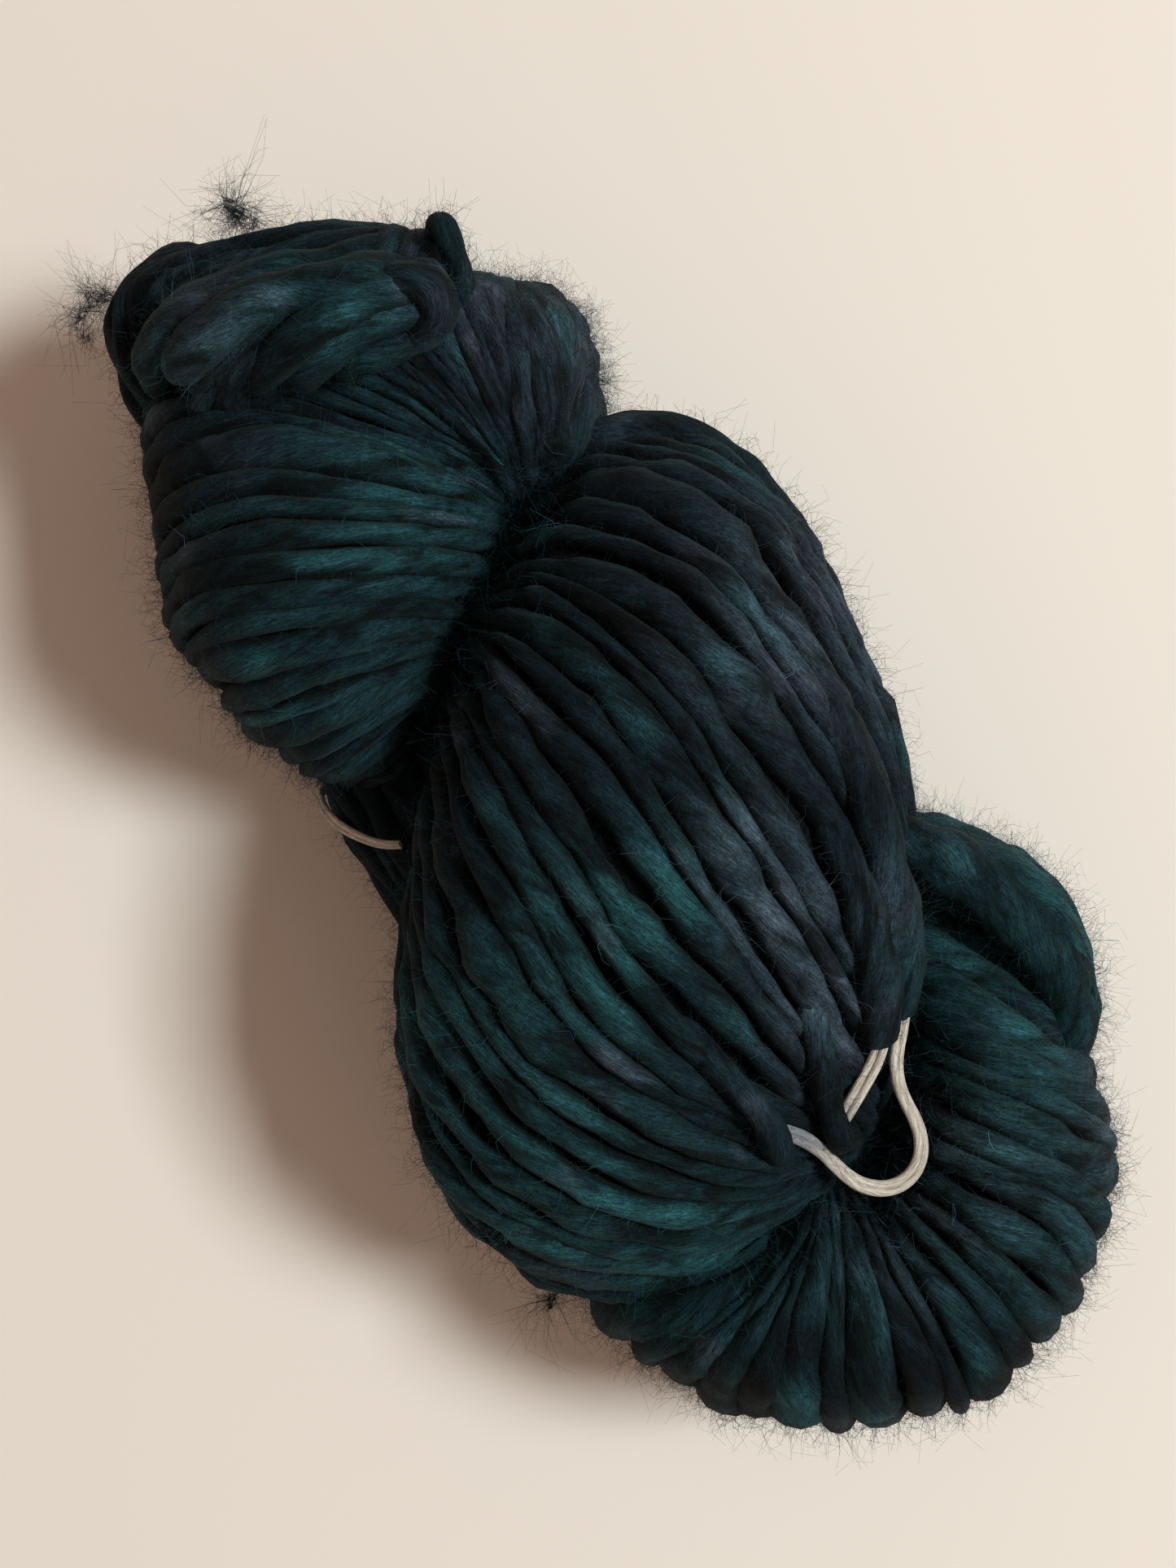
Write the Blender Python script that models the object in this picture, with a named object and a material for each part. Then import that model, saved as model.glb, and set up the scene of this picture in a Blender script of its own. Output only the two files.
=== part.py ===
"""A hank of thick single-ply wool, twisted on itself with its end tucked through, and its two cotton ties.

The hank lies along X with its tucked end towards -X, and rests on the flat underside at Z = 0.
The tables hold millimetres, and the plan places are X and Y before the hank is centred on its box.
"""

from collections import namedtuple
from math import pi

import bmesh
import bpy
import numpy as np
from mathutils import Vector

MM = 0.001

# Driving sizes of the hank, in millimetres.
BOX_MIDDLE = (-4.0, -2.46)  # the middle of the hank's box, in the tables' plan
WIDEST_SHARE = 0.44  # how far up a section is at its widest
DOME = 2.3  # roundness of a section above its widest place, where 2 is an ellipse
BELLY = 2.3  # roundness below it
FOOT = -4.0  # the lobes reach this far below the table before the underside is cut flat
RING_POINTS = 28
SMOOTH_STEPS = 2  # sections made between two rows of a table

# Driving sizes of the ties.
LOWER_TIE_THICKNESS = 3.2
UPPER_TIE_THICKNESS = 2.4
TIE_POINT_SPACING = 1.2  # in thicknesses
TIE_BEVEL_RESOLUTION = 2

YARN_COLOUR = (0.012, 0.045, 0.050, 1.0)
COTTON_COLOUR = (0.62, 0.60, 0.56, 1.0)

# A wrap is a bundle of turns that comes up out of a pinched place, goes over the lump's crest and down
# round its outer side. bow is how far its middle swings to the left of the straight line outwards.
Wrap = namedtuple("Wrap", "inner outer crest bow")

# The upper lump: its turns fan out of the pinch beside the big lobe, from the crevice right round to the
# smooth side of the lump.
UPPER_WRAPS = (
    Wrap((-44, -8), (-32, -36), 46, 0),
    Wrap((-46, -6), (-41, -44), 66, 0),
    Wrap((-48, -4), (-55, -51), 77, 0),
    Wrap((-49, -1), (-71, -52), 83, 0),
    Wrap((-50, 2), (-84, -52), 86, 0),
    Wrap((-52, 6), (-95, -49), 87, 0),
    Wrap((-54, 10), (-104, -43), 87, 0),
    Wrap((-57, 13), (-114, -38), 86, 0),
    Wrap((-60, 17), (-124, -32), 84, 0),
    Wrap((-62, 20), (-132, -24), 80, 0),
    Wrap((-63, 21), (-138, -13), 76, 0),
    Wrap((-64, 22), (-135, 2), 76, 0),
    Wrap((-64, 23), (-126, 18), 78, 0),
    Wrap((-65, 24), (-117, 32), 80, 0),
    Wrap((-65, 25), (-110, 44), 81, 0),
    Wrap((-65, 26), (-101, 53), 81, -1),
    Wrap((-65, 27), (-92, 57), 80, -2),
    Wrap((-65, 28), (-83, 56), 77, -1),
    Wrap((-63, 29), (-75, 52), 70, 0),
    Wrap((-60, 29), (-66, 47), 56, 0),
)

# The lower lump: its turns fan out of the lower pinch, from the left side of the big lobe right round to
# the under ply that comes out on the far side.
LOWER_WRAPS = (
    Wrap((84, -8), (68, -60), 66, 8),
    Wrap((85, -8), (83, -65), 74, 6),
    Wrap((86, -8), (99, -61), 78, 2),
    Wrap((87, -8), (113, -54), 80, -1),
    Wrap((88, -7), (123, -45), 81, 0),
    Wrap((89, -6), (131, -35), 81, 0),
    Wrap((90, -5), (137, -25), 81, 0),
    Wrap((91, -3), (142, -13), 81, 1),
    Wrap((91, -1), (142, -1), 82, 2),
    Wrap((91, 1), (140, 11), 82, 3),
    Wrap((90, 3), (136, 22), 82, 3),
    Wrap((88, 6), (130, 33), 82, 3),
    Wrap((84, 10), (121, 43), 80, 2),
    Wrap((78, 14), (112, 48), 78, 2),
    Wrap((71, 18), (103, 51), 75, 2),
    Wrap((62, 23), (95, 53), 70, 2),
    Wrap((52, 28), (84, 56), 60, 2),
    Wrap((42, 33), (66, 58), 48, 2),
    Wrap((34, 37), (50, 56), 38, 0),
)

# A span is a section across a lobe whose turns run lengthways, from its left edge to its right edge.
Span = namedtuple("Span", "left right crest")

BIG_LOBE_SPANS = (
    Span((-40, -18), (-76, 27), 40),
    Span((-31, -26), (-70, 38), 64),
    Span((-21, -36), (-65, 51), 81),
    Span((-3, -53), (-49, 65), 91),
    Span((13, -65), (-26, 69), 95),
    Span((39, -75), (9, 63), 95),
    Span((66, -71), (36, 52), 90),
    Span((86, -55), (57, 38), 80),
    Span((90, -30), (74, 24), 66),
    Span((89, -14), (84, 8), 50),
)

# A station is a section across a bundle that is narrower than it is long.
Station = namedtuple("Station", "middle half_width crest foot")

UNDER_PLY = (
    Station((-62, -24), 20, 36, FOOT),
    Station((-42, -27), 21, 38, FOOT),
    Station((-22, -32), 19, 40, FOOT),
    Station((-5, -36), 15, 38, FOOT),
    Station((8, -36), 10, 34, FOOT),
)

HEART = (
    Station((-80, 10), 20, 42, FOOT),
    Station((-55, 8), 24, 44, FOOT),
    Station((-10, 0), 30, 46, FOOT),
    Station((40, 0), 30, 46, FOOT),
    Station((80, 0), 24, 44, FOOT),
    Station((105, 0), 20, 42, FOOT),
)

FAR_ARCH = (
    Station((30, 40), 8, 48, FOOT),
    Station((43, 49), 9, 60, FOOT),
    Station((53, 57), 9, 65, FOOT),
    Station((65, 61), 9, 66, FOOT),
    Station((78, 60), 9, 63, FOOT),
    Station((90, 54), 9, 57, FOOT),
    Station((99, 46), 8, 50, FOOT),
)

COLLAR = (
    Station((-102, 30), 7, 74, 52),
    Station((-111, 32), 10, 79, 47),
    Station((-121, 24), 11, 79, 44),
    Station((-132, 6), 11, 76, 40),
    Station((-140, -8), 10, 72, 36),
    Station((-140, -17), 9, 68, 34),
    Station((-131, -24), 9, 63, 32),
    Station((-118, -23), 8, 56, 30),
    Station((-104, -16), 6, 50, 30),
)

TUCKED_END = (
    Station((-118, -18), 8, 88, 66),
    Station((-117, -11), 11, 94, 60),
    Station((-113, 1), 13, 97, 58),
    Station((-109, 14), 13, 97, 58),
    Station((-105, 26), 12, 94, 58),
    Station((-102, 34), 9, 88, 58),
)

# The ties' routes are places in plan and a height, along the middle of the cotton. Each end of a tie goes
# in under the yarn.
LOWER_TIE_ROUTE = (
    (66.4, -8.6, 86.0),
    (70.0, -6.4, 83.4),
    (74.6, -4.9, 79.4),
    (79.2, -4.3, 75.8),
    (83.2, -3.6, 73.6),
    (86.8, -2.2, 72.4),
    (89.8, 0.6, 71.6),
    (91.2, 4.0, 71.2),
    (90.9, 7.4, 71.0),
    (89.2, 10.4, 70.6),
    (86.4, 12.6, 70.0),
    (83.0, 13.8, 69.4),
    (79.4, 14.4, 69.0),
    (75.8, 15.3, 69.0),
    (72.4, 17.0, 69.2),
    (69.4, 19.4, 69.4),
    (66.6, 22.2, 69.6),
    (63.8, 24.8, 69.8),
    (60.8, 27.6, 70.0),
    (57.8, 30.4, 70.6),
)

LOWER_TIE_UNDER_ROUTE = (
    (73.8, -0.9, 78.2),
    (72.7, 2.2, 78.0),
    (71.4, 5.4, 77.9),
    (70.2, 8.4, 77.3),
    (69.0, 11.4, 76.5),
    (67.4, 14.6, 75.8),
    (65.0, 17.8, 75.4),
    (61.8, 21.0, 75.7),
    (58.2, 24.0, 76.3),
    (54.6, 26.8, 77.0),
    (51.0, 29.4, 77.5),
)

UPPER_TIE_ROUTE = (
    (-43.3, -48.5, 6.0),
    (-43.0, -49.3, 10.0),
    (-42.2, -49.7, 14.0),
    (-40.8, -49.8, 18.0),
    (-38.8, -49.8, 22.0),
    (-36.4, -49.3, 26.0),
    (-33.8, -48.5, 29.6),
    (-31.2, -47.3, 32.6),
    (-28.6, -45.7, 35.3),
    (-26.0, -43.9, 37.4),
    (-23.8, -41.7, 39.2),
    (-22.0, -39.2, 40.4),
)


def smooth_rows(rows, steps):
    """The rows as arrays, with steps more between each two, on a smooth curve through them."""
    rows = np.array(rows, float)
    before = np.vstack([2 * rows[0] - rows[1], rows[:-1]])
    after = np.vstack([rows[1:], 2 * rows[-1] - rows[-2]])
    slopes = (after - before) / 2
    made = []
    for i in range(len(rows) - 1):
        for step in range(steps + 1):
            t = step / (steps + 1)
            made.append(
                (2 * t**3 - 3 * t**2 + 1) * rows[i]
                + (t**3 - 2 * t**2 + t) * slopes[i]
                + (3 * t**2 - 2 * t**3) * rows[i + 1]
                + (t**3 - t**2) * slopes[i + 1]
            )
    return made + [rows[-1]]


def rounded(wave, roundness):
    return np.sign(wave) * np.abs(wave) ** (2 / roundness)


def section_ring(left, right, crest, foot, bow=0.0):
    """A closed upright section between two plan places, domed above and flatter below."""
    left = np.array(left)
    right = np.array(right)
    angles = np.arange(RING_POINTS) * 2 * pi / RING_POINTS
    above = np.sin(angles) >= 0
    roundness = np.where(above, DOME, BELLY)
    across = rounded(np.cos(angles), roundness)
    up = rounded(np.sin(angles), roundness)
    widest = foot + WIDEST_SHARE * (crest - foot)
    height = np.where(above, crest - widest, widest - foot)
    along = (right - left) / 2
    sideways = np.array((-along[1], along[0])) / np.hypot(*along)
    plan = (left + right) / 2 + np.outer(across, along) + np.outer(bow * (1 - across**2), sideways)
    return np.column_stack([plan, widest + up * height])


def wrap_rings(wraps):
    rows = [(*w.inner, *w.outer, w.crest, w.bow) for w in wraps]
    return [
        section_ring(row[0:2], row[2:4], row[4], FOOT, row[5])
        for row in smooth_rows(rows, SMOOTH_STEPS)
    ]


def span_rings(spans):
    rows = [(*s.left, *s.right, s.crest) for s in spans]
    return [
        section_ring(row[0:2], row[2:4], row[4], FOOT)
        for row in smooth_rows(rows, SMOOTH_STEPS)
    ]


def station_rings(stations):
    """Upright sections square to the line through the stations' middles."""
    rows = smooth_rows([(*s.middle, s.half_width, s.crest, s.foot) for s in stations], SMOOTH_STEPS)
    middles = np.array([row[0:2] for row in rows])
    headings = np.gradient(middles, axis=0)
    rings = []
    for row, heading in zip(rows, headings):
        side = np.array((-heading[1], heading[0])) / np.hypot(*heading) * row[2]
        rings.append(section_ring(row[0:2] + side, row[0:2] - side, row[3], row[4]))
    return rings


def placed(point):
    """A point of the tables as a place in the hank's own frame, in metres."""
    return Vector(
        ((point[0] - BOX_MIDDLE[0]) * MM, (point[1] - BOX_MIDDLE[1]) * MM, point[2] * MM)
    )


def loft(name, rings, collection, material):
    """A closed solid through rings of equal point counts, with a flat cap at each end."""
    shell = bmesh.new()
    lines = [[shell.verts.new(placed(point)) for point in ring] for ring in rings]
    for near, far in zip(lines, lines[1:]):
        for i in range(RING_POINTS):
            j = (i + 1) % RING_POINTS
            shell.faces.new((near[i], near[j], far[j], far[i]))
    shell.faces.new(lines[0][::-1])
    shell.faces.new(lines[-1])
    bmesh.ops.recalc_face_normals(shell, faces=shell.faces)
    mesh = bpy.data.meshes.new(name)
    shell.to_mesh(mesh)
    shell.free()
    mesh.shade_smooth()
    mesh.materials.append(material)
    solid = bpy.data.objects.new(name, mesh)
    collection.objects.link(solid)
    return solid


def as_helper(solid):
    solid.hide_render = True
    solid.display_type = "WIRE"
    return solid


def join(base, helper, operation):
    cut = base.modifiers.new(helper.name, "BOOLEAN")
    cut.operation = operation
    cut.solver = "EXACT"
    cut.object = helper


def new_material(name, colour, roughness):
    material = bpy.data.materials.new(name)
    material.use_nodes = True
    shader = material.node_tree.nodes["Principled BSDF"]
    shader.inputs["Base Color"].default_value = colour
    shader.inputs["Roughness"].default_value = roughness
    shader.inputs["Metallic"].default_value = 0.0
    return material


def new_collection(name):
    collection = bpy.data.collections.new(name)
    bpy.context.scene.collection.children.link(collection)
    return collection


def table_block(collection):
    """What lies below the table top, to cut the underside flat."""
    bpy.ops.mesh.primitive_cube_add(size=1.0)
    block = bpy.context.object
    block.name = "below_the_table"
    block.scale = (0.5, 0.4, 0.05)
    block.location = (0.0, 0.0, -0.025)
    for old in block.users_collection:
        old.objects.unlink(block)
    collection.objects.link(block)
    return as_helper(block)


def make_hank(parts, cutters, yarn):
    hank = loft("hank", span_rings(BIG_LOBE_SPANS), parts, yarn)
    helpers = {
        "upper_lump": wrap_rings(UPPER_WRAPS),
        "lower_lump": wrap_rings(LOWER_WRAPS),
        "under_ply": station_rings(UNDER_PLY),
        "heart": station_rings(HEART),
        "far_arch": station_rings(FAR_ARCH),
        "collar": station_rings(COLLAR),
        "tucked_end": station_rings(TUCKED_END),
    }
    for name, rings in helpers.items():
        join(hank, as_helper(loft(name, rings, cutters, yarn)), "UNION")
    join(hank, table_block(cutters), "DIFFERENCE")
    return hank


def evenly_spaced(route, spacing):
    """Points at equal steps along the smooth curve through a route."""
    curve = np.array(smooth_rows(route, 12))
    lengths = np.hypot.reduce(np.diff(curve, axis=0), axis=1)
    along = np.concatenate([[0.0], np.cumsum(lengths)])
    count = round(along[-1] / spacing) + 1
    wanted = np.linspace(0.0, along[-1], count)
    return np.column_stack([np.interp(wanted, along, curve[:, axis]) for axis in range(3)])


def make_tie(name, route, thickness, parts, cotton):
    points = evenly_spaced(route, TIE_POINT_SPACING * thickness)
    curve = bpy.data.curves.new(name, "CURVE")
    curve.dimensions = "3D"
    curve.bevel_depth = thickness / 2 * MM
    curve.bevel_resolution = TIE_BEVEL_RESOLUTION
    curve.use_fill_caps = True
    line = curve.splines.new("POLY")
    line.points.add(len(points) - 1)
    for spot, point in zip(line.points, points):
        spot.co = (*placed(point), 1.0)
    curve.materials.append(cotton)
    parts.objects.link(bpy.data.objects.new(name, curve))


def main():
    for old in list(bpy.context.scene.objects):
        bpy.data.objects.remove(old)
    parts = new_collection("hank_of_yarn")
    cutters = new_collection("hank_of_yarn_cutters")
    yarn = new_material("yarn", YARN_COLOUR, 0.85)
    cotton = new_material("tie_cotton", COTTON_COLOUR, 0.9)
    make_hank(parts, cutters, yarn)
    make_tie("tie_lower", LOWER_TIE_ROUTE, LOWER_TIE_THICKNESS, parts, cotton)
    make_tie("tie_lower_under", LOWER_TIE_UNDER_ROUTE, LOWER_TIE_THICKNESS, parts, cotton)
    make_tie("tie_upper", UPPER_TIE_ROUTE, UPPER_TIE_THICKNESS, parts, cotton)


main()
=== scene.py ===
"""The looks of a hank of thick single-ply wool: its turns, their dye, its fine hairs and its cotton ties.

The tables are in millimetres, in the plan of the CAD's tables, so each turn lies on the lobe it belongs to.
An angle round a lobe's section is 0 at its outer or right edge, 90 at its crest, and 180 at its inner or
left edge.
"""

from collections import namedtuple
from math import pi, radians

import bmesh
import bpy
import numpy as np
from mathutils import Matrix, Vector


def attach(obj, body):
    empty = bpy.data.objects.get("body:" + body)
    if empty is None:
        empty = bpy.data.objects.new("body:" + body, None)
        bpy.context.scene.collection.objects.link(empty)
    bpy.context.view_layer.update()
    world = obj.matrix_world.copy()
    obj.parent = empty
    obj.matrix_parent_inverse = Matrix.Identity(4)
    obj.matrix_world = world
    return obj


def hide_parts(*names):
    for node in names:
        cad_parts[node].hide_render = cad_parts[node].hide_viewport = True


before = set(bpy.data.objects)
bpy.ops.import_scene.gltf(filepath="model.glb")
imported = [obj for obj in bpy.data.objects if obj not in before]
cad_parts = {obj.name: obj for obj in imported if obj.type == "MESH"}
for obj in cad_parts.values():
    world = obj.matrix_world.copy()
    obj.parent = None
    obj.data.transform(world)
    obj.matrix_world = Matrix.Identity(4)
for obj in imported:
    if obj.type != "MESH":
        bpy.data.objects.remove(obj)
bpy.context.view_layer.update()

MM = 0.001

# The form of the lobes, as the CAD has it.
BOX_MIDDLE = (-4.0, -2.46)  # the place in the tables' plan that is the frame's origin
WIDEST_SHARE = 0.44  # how far up a section is at its widest
ROUNDNESS = 2.3  # 2 is an ellipse, and more is squarer
FOOT = -4.0

# How the yarn is laid, in millimetres.
HALF_WIDTH_RANGE = (1.8, 6.2)
HALF_HEIGHT_RANGE = (2.3, 5.2)
ROUND_HALF_WIDTH = 4.1  # yarn of this half width is round, and wider yarn is flatter
FLATTENING = 0.6
UNEVENNESS = 0.28  # how far a turn may be wider or narrower than its share
SIDE_WANDER = 0.34  # how far a turn strays sideways, in half widths
SIDE_WAVES = 1.6
LIFT_WANDER = 0.75
LIFT_WAVES = 1.3
DEEPEST_SHARE = 0.6  # how far towards the middle of its lobe a turn may lie

# An end lump's turns are counted off along its brow, and run from its inner foot over to its outer one.
BROW_ANGLE = 40.0
FAN_START = 196.0
FAN_END = -88.0
PLACES_COUNTED = 400
ANGLES_COUNTED = 721
CURVE_STEPS = 40  # for each point of a route

# The big lobe's turns.
BIG_LOBE_SPACING = 7.4
BIG_LOBE_OVERLAP = 0.93

# The yarn's own shape, in millimetres.
YARN_SIDES = 13
SLUB_AMOUNT = 0.34
SLUB_AMOUNTS = {"big_lobe": 0.6}  # where it isn't the usual amount
SLUB_LENGTH = 13.0
SLUB_GAIN = 2.6  # the noise seldom strays by more than a fifth from its middle
LUMP_AMOUNT = 1.4
LUMP_LENGTH = 8.0
SPIN = 1 / 85  # turns of the wool's own twist for each millimetre
SLUB_SHIFT = 7.31  # how far one turn's noise lies from the next one's
DYE_SHIFT = 53.0  # and its dye

# Single strands, which narrow towards their ends.
ROPE_STEP = 1.6
ROPE_END_SHARE = 0.45
ROPE_END_LENGTH = 7.0
ROPE_HEIGHT_SHARE = 0.92
ROPE_LEAST_OUTER = 0.5  # they show nearly all round, so they aren't dark underneath

# The shaded wool between the turns: how far under the lobes' surface it lies, and its rings.
CORE_DEPTH = 6.5
BUNDLE_CORE_DEPTH = 11.0
CORE_LEAST_SHARE = 0.2
CORE_CLEARANCE = 1.0
CORE_RINGS = 40
CORE_SIDES = 32

# The wool's loose hairs, in metres, and how many grow from a square metre of yarn.
HAIR_DENSITY = 113000.0
HAIR_SHARES = {"big_lobe": 0.93, "upper_lump": 0.87}  # where fewer grow
HAIR_LEAST_OUTER = 0.25  # hairs grow only on a turn's outer part
HAIR_LEAST_UP = -0.4  # and not where the wool faces down
OUTLINE_MOST_UP = 0.4  # less than this, and the wool faces sideways
OUTLINE_HAIRS = 1.3  # how many more hairs grow there, as a share
HAIR_LENGTHS = (0.0013, 0.0068)
HAIR_LENGTH_POWER = 2.5  # most hairs are short
HAIR_SPREAD = 1.0
HAIR_CURL = 0.023
HAIR_CURL_SCALE = 520.0
HAIR_THICKNESS = 0.00009
HAIR_TAPER = -0.6
HAIR_CLEARANCE = 0.0004  # over the floor
HAIR_POINTS = 4
HAIR_SIDES = 3
LENGTH_SEED_STEP = 5.0
TUFT_LONGEST = 0.003
TUFT_CURL = 0.05

# The cotton ties, each of two strands side by side that roll lazily about each other.
LOWER_TIE_THICKNESS = 3.2
UPPER_TIE_THICKNESS = 2.4
TIE_STEP = 0.8
TIE_STRAND_SHARE = 0.26  # a strand's half height, in thicknesses of the tie
TIE_STRAND_WIDTH = 1.02
TIE_STRAND_APART = 0.92
TIE_ROLL = 0.55
TIE_ROLL_LENGTH = 11.0
TIE_SLUB_AMOUNT = 0.05
TIE_LUMP_AMOUNT = 0.12
TIE_SEED = 3
NEARLY_UP = (0.2, 0.1, 1.0)  # no strand or tie starts out this way

# The camera looks straight down from over the table, turned so that the hank lies across the picture.
CAMERA_PLACE = (-0.0051, 0.0029, 0.502)
CAMERA_TURN = 54.0
CAMERA_LENS = 50.0
CAMERA_SENSOR = 36.0

# Soft light from the picture's upper right, and a warm dim fill.
WINDOW_PLACE = (0.70, 1.30, 1.98)
WINDOW_SIZE = 0.6
WINDOW_POWER = 54.0
WINDOW_COLOUR = (1.0, 1.0, 0.985)
FILL_COLOUR = (1.0, 0.66, 0.52, 1.0)
FILL_STRENGTH = 0.33
FLOOR_HALF_SIZE = 3.0

# Sections through the lobes. A wrap goes round an end lump, from its inner to its outer side, and may bow
# sideways. A span goes across the big lobe. A station goes across a bundle, at a place on its middle line.
Wrap = namedtuple("Wrap", "inner outer crest bow")
Span = namedtuple("Span", "left right crest")
Station = namedtuple("Station", "middle half_width crest foot")

UPPER_WRAPS = (
    Wrap((-44, -8), (-32, -36), 46, 0),
    Wrap((-46, -6), (-41, -44), 66, 0),
    Wrap((-48, -4), (-55, -51), 77, 0),
    Wrap((-49, -1), (-71, -52), 83, 0),
    Wrap((-50, 2), (-84, -52), 86, 0),
    Wrap((-52, 6), (-95, -49), 87, 0),
    Wrap((-54, 10), (-104, -43), 87, 0),
    Wrap((-57, 13), (-114, -38), 86, 0),
    Wrap((-60, 17), (-124, -32), 84, 0),
    Wrap((-62, 20), (-132, -24), 80, 0),
    Wrap((-63, 21), (-138, -13), 76, 0),
    Wrap((-64, 22), (-135, 2), 76, 0),
    Wrap((-64, 23), (-126, 18), 78, 0),
    Wrap((-65, 24), (-117, 32), 80, 0),
    Wrap((-65, 25), (-110, 44), 81, 0),
    Wrap((-65, 26), (-101, 53), 81, -1),
    Wrap((-65, 27), (-92, 57), 80, -2),
    Wrap((-65, 28), (-83, 56), 77, -1),
    Wrap((-63, 29), (-75, 52), 70, 0),
    Wrap((-60, 29), (-66, 47), 56, 0),
)

LOWER_WRAPS = (
    Wrap((84, -8), (68, -60), 66, 8),
    Wrap((85, -8), (83, -65), 74, 6),
    Wrap((86, -8), (99, -61), 78, 2),
    Wrap((87, -8), (113, -54), 80, -1),
    Wrap((88, -7), (123, -45), 81, 0),
    Wrap((89, -6), (131, -35), 81, 0),
    Wrap((90, -5), (137, -25), 81, 0),
    Wrap((91, -3), (142, -13), 81, 1),
    Wrap((91, -1), (142, -1), 82, 2),
    Wrap((91, 1), (140, 11), 82, 3),
    Wrap((90, 3), (136, 22), 82, 3),
    Wrap((88, 6), (130, 33), 82, 3),
    Wrap((84, 10), (121, 43), 80, 2),
    Wrap((78, 14), (112, 48), 78, 2),
    Wrap((71, 18), (103, 51), 75, 2),
    Wrap((62, 23), (95, 53), 70, 2),
    Wrap((52, 28), (84, 56), 60, 2),
    Wrap((42, 33), (66, 58), 48, 2),
    Wrap((34, 37), (50, 56), 38, 0),
)

BIG_LOBE_SPANS = (
    Span((-40, -18), (-76, 27), 40),
    Span((-31, -26), (-70, 38), 64),
    Span((-21, -36), (-65, 51), 81),
    Span((-3, -53), (-49, 65), 91),
    Span((13, -65), (-26, 69), 95),
    Span((39, -75), (9, 63), 95),
    Span((66, -71), (36, 52), 90),
    Span((86, -55), (57, 38), 80),
    Span((90, -30), (74, 24), 66),
    Span((89, -14), (84, 8), 50),
)

UNDER_PLY = (
    Station((-62, -24), 20, 36, FOOT),
    Station((-42, -27), 21, 38, FOOT),
    Station((-22, -32), 19, 40, FOOT),
    Station((-5, -36), 15, 38, FOOT),
    Station((8, -36), 10, 34, FOOT),
)

HEART = (
    Station((-80, 10), 20, 42, FOOT),
    Station((-55, 8), 24, 44, FOOT),
    Station((-10, 0), 30, 46, FOOT),
    Station((40, 0), 30, 46, FOOT),
    Station((80, 0), 24, 44, FOOT),
    Station((105, 0), 20, 42, FOOT),
)

FAR_ARCH = (
    Station((30, 40), 8, 48, FOOT),
    Station((43, 49), 9, 60, FOOT),
    Station((53, 57), 9, 65, FOOT),
    Station((65, 61), 9, 66, FOOT),
    Station((78, 60), 9, 63, FOOT),
    Station((90, 54), 9, 57, FOOT),
    Station((99, 46), 8, 50, FOOT),
)

COLLAR = (
    Station((-102, 30), 7, 74, 52),
    Station((-111, 32), 10, 79, 47),
    Station((-121, 24), 11, 79, 44),
    Station((-132, 6), 11, 76, 40),
    Station((-140, -8), 10, 72, 36),
    Station((-140, -17), 9, 68, 34),
    Station((-131, -24), 9, 63, 32),
    Station((-118, -23), 8, 56, 30),
    Station((-104, -16), 6, 50, 30),
)

TUCKED_END = (
    Station((-118, -18), 8, 88, 66),
    Station((-117, -11), 11, 94, 60),
    Station((-113, 1), 13, 97, 58),
    Station((-109, 14), 13, 97, 58),
    Station((-105, 26), 12, 94, 58),
    Station((-102, 34), 9, 88, 58),
)

# Turns twisted together: the station and spacing at which they are counted off, the whole angle of their
# twist, the points along each, how wide each one is as a share of its place, and how far it is sunk.
Bundle = namedtuple("Bundle", "stations station spacing twist points overlap sunk seed")

BUNDLES = {
    "under_ply": Bundle(UNDER_PLY, 1, 7.4, 40, 36, 1.0, 1.0, 14),
    "far_arch": Bundle(FAR_ARCH, 3, 9.62, 60, 44, 1.2, 1.3, 15),
    "collar": Bundle(COLLAR, 3, 8.88, 120, 56, 1.0, 1.6, 16),
    "tucked_end": Bundle(TUCKED_END, 3, 10.73, 165, 44, 1.0, 2.1, 17),
}

# How far a fan's turns lean from their own wrap, in wraps for each 90 degrees up from the outer side.
Lean = namedtuple("Lean", "wrap by")

UPPER_LEANS = (
    Lean(0, -0.9), Lean(2.1, -0.8), Lean(3.7, 0.3), Lean(4.5, 1.2), Lean(5.2, 1.6), Lean(6.8, 1.8),
    Lean(7.5, 2.5), Lean(10, 1.8), Lean(13, 0.4), Lean(14.3, 0.0), Lean(15, 0.8), Lean(16, 1.4),
    Lean(19, 0.6),
)

LOWER_LEANS = (
    Lean(0, -0.6), Lean(2.5, -0.9), Lean(4.5, -0.9), Lean(6, -0.2), Lean(8, 0.0), Lean(9.5, 0.5),
    Lean(10.5, 1.0), Lean(12, 1.3), Lean(13.5, 1.3), Lean(15, 1.2), Lean(18, 0.5),
)

# How the wool of an end lump has felted, by wrap: how far apart its turns lie, and how wide each one is as
# a share of its place.
Felt = namedtuple("Felt", "wrap spacing overlap")

UPPER_FELT = (Felt(0, 6.364, 1.02), Felt(12.39, 6.364, 1.02), Felt(12.4, 5.6, 1.75), Felt(19, 5.6, 1.75))
LOWER_FELT = (Felt(0, 8.436, 1.4), Felt(4.5, 8.436, 1.32), Felt(7, 8.436, 1.02), Felt(18, 8.436, 1.02))

# How fast the big lobe's turns go round it, in degrees for each span, by their angle half way along.
Twist = namedtuple("Twist", "angle by")

BIG_LOBE_TWISTS = (
    Twist(0, 3), Twist(18, 2.5), Twist(40, 5), Twist(58, 7), Twist(64, 6), Twist(70, 5), Twist(80, 4),
    Twist(95, 4.3), Twist(105, 6.3), Twist(115, 8.3), Twist(125, 10.2), Twist(150, 12), Twist(200, 8),
    Twist(280, 5), Twist(360, 3),
)
TWIST_CENTRE = 4.5  # the span at which a turn has its own angle

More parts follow.
